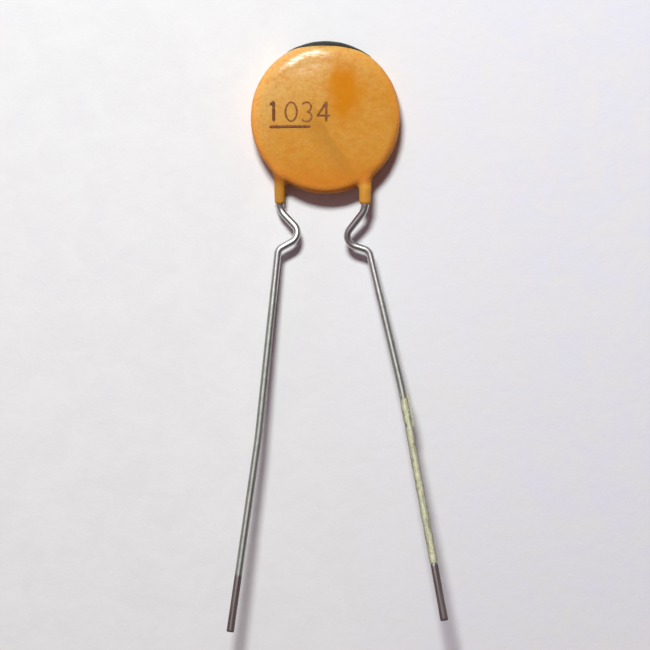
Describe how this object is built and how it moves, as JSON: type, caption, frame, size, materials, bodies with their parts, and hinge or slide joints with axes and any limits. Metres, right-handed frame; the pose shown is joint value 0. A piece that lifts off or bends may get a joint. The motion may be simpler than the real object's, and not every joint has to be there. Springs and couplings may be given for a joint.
{
  "type": "ceramic disc capacitor",
  "caption": "Small round capacitor: a coated ceramic disc with a bent, spreading wire lead from each side of one edge, for soldering through a circuit board.",
  "frame": {"origin": "on the surface the part lies on, under the middle of its overall length and width", "axes": "+Z is the printed face's outward side, away from the surface it lies on; +Y runs from the wires' free ends to the painted rim; +X is to the right as the print is read with the wires pointing down"},
  "size_m": [0.0194, 0.052, 0.0052],
  "materials": {
    "ceramic": "matte",
    "silver": "satin",
    "solder": "satin",
    "tinned_wire": "satin",
    "orange_resin": "gloss",
    "black_paint": "gloss"
  },
  "bodies": {
    "root": {"ceramic_disc": "ceramic", "electrode_front": "silver", "electrode_back": "silver", "solder_front": "solder", "solder_back": "solder", "lead_left": "tinned_wire", "lead_right": "tinned_wire", "coating": "orange_resin", "tip_mark": "black_paint"}
  },
  "joints": []
}
